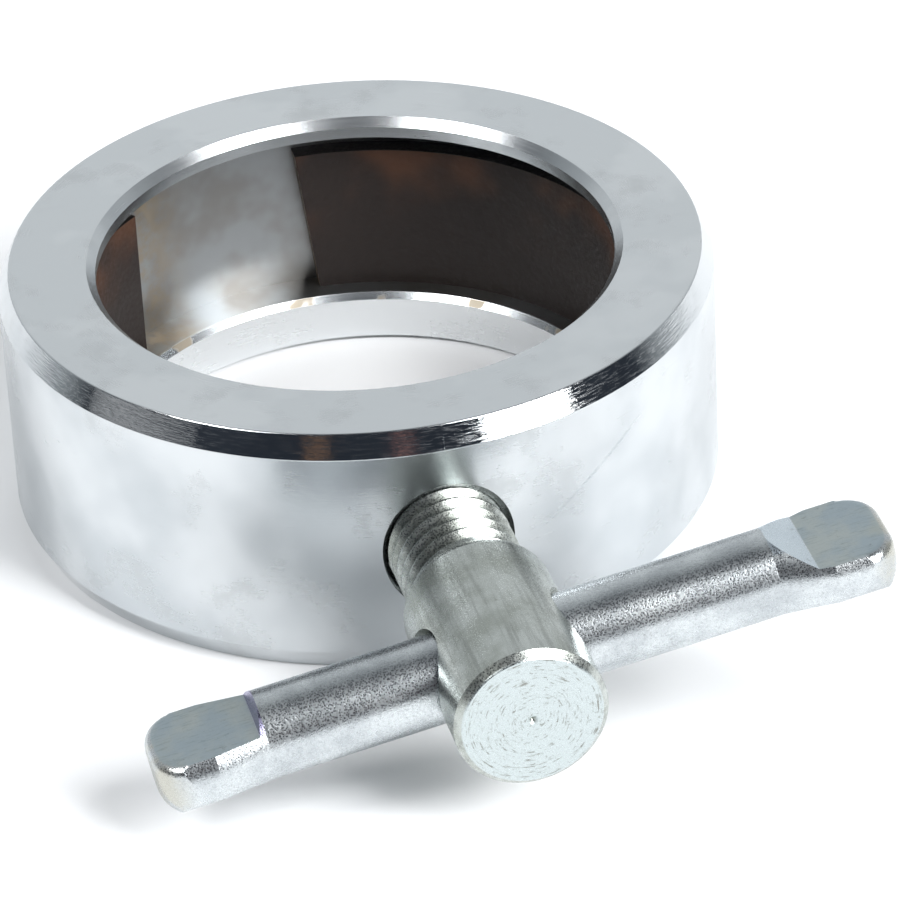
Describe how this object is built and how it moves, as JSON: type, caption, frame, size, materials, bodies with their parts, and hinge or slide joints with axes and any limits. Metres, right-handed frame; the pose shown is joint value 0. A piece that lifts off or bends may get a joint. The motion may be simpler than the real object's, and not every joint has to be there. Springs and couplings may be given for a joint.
{
  "type": "sleeve clamp collar",
  "caption": "Round steel collar with a lined bore and a T-handled screw that locks it on a 50 mm sleeve.",
  "frame": {"origin": "where the bore's axis crosses the screw's axis, at mid height of the ring", "axes": "+Z along the bore; the screw leaves the ring along -Y; the handle's long side is on +X, 8.83 degrees up"},
  "size_m": [0.072, 0.0994, 0.026],
  "materials": {
    "plated_ring": "satin turned faces and polished bevels, bright plated",
    "lining": "dark brown, worn and faintly shiny",
    "pad_brass": "turned",
    "zinc_steel": "zinc plated, fine speckle"
  },
  "bodies": {
    "ring": {"ring_body": "plated_ring", "friction_lining": "lining"},
    "pad": {"thrust_pad": "pad_brass"},
    "screw": {"clamp_screw": "zinc_steel"},
    "handle": {"tommy_bar": "zinc_steel"}
  },
  "joints": [
    {"name": "screw_advance", "type": "slide", "parent": "ring", "child": "pad", "axis": [0, 1, 0], "range_m": [0, 0.00875]},
    {"name": "screw_turn", "type": "hinge", "parent": "pad", "child": "screw", "pos_m": [0, 0, 0], "axis": [0, 1, 0], "range_deg": [0, 1800]},
    {"name": "bar_slide", "type": "slide", "parent": "screw", "child": "handle", "axis": [0.9881, 0, 0.1535], "range_m": [-0.017, 0.014]}
  ],
  "couplings": [
    {"joint": "screw_advance", "follows": "screw_turn", "m_per_rad": 0.00027852}
  ]
}
